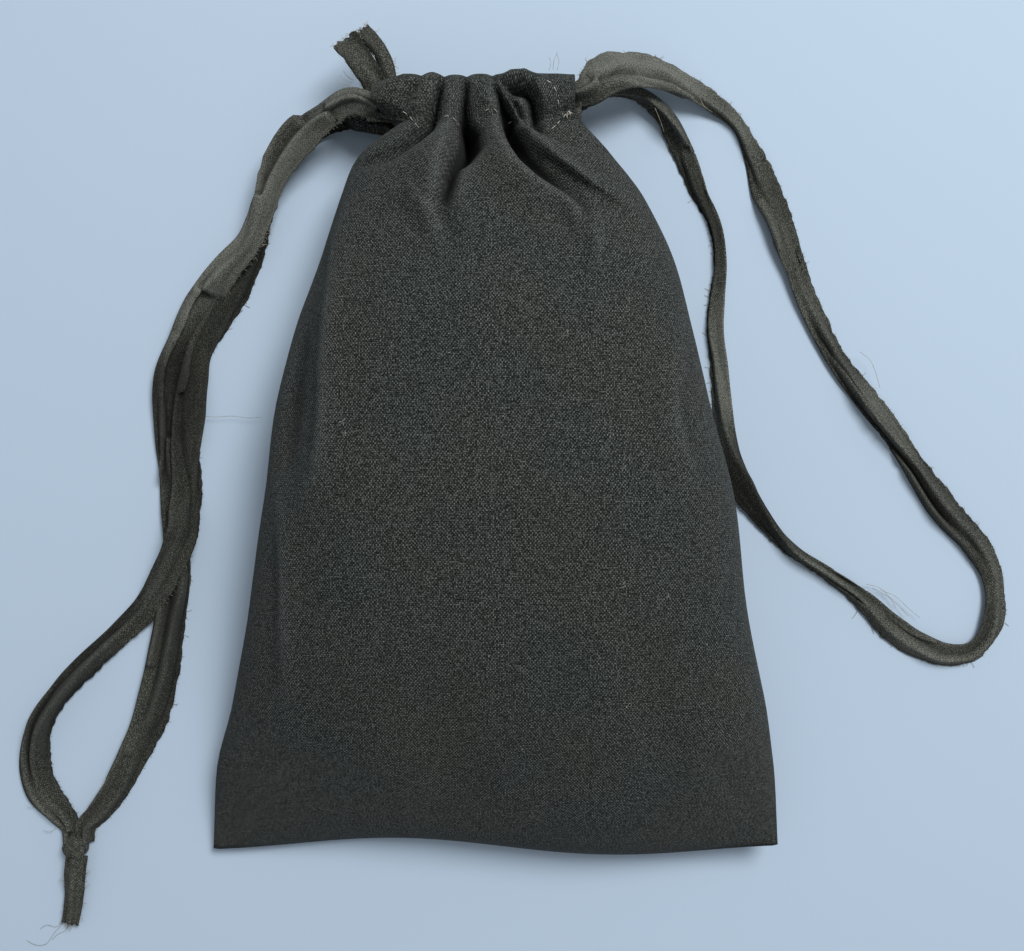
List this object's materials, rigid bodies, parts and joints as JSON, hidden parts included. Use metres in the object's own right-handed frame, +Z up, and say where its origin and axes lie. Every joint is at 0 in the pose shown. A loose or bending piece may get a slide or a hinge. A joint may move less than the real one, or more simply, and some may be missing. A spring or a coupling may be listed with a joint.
{
  "type": "drawstring pouch",
  "caption": "Small kinchaku pouch of dark plain-weave cloth, drawn shut by torn-strip drawstrings through two casings, lying on its back.",
  "frame": {"origin": "on the table, under the middle of the pouch cloth's box; the cords are not counted", "axes": "+Y from the bottom fold to the gathered mouth, +X across to the open loop of the right drawstring, +Z up from the table to the front of the pouch"},
  "size_m": [0.2655, 0.2437, 0.05],
  "materials": {
    "charcoal_cloth": "matte plain weave",
    "olive_strip": "matte, frayed edges",
    "cream_thread": "matte thread"
  },
  "bodies": {
    "root": {"pouch_cloth": "charcoal_cloth", "drawstring_left": "olive_strip", "left_knot": "olive_strip", "drawstring_right": "olive_strip", "right_knot": "olive_strip"}
  },
  "joints": []
}
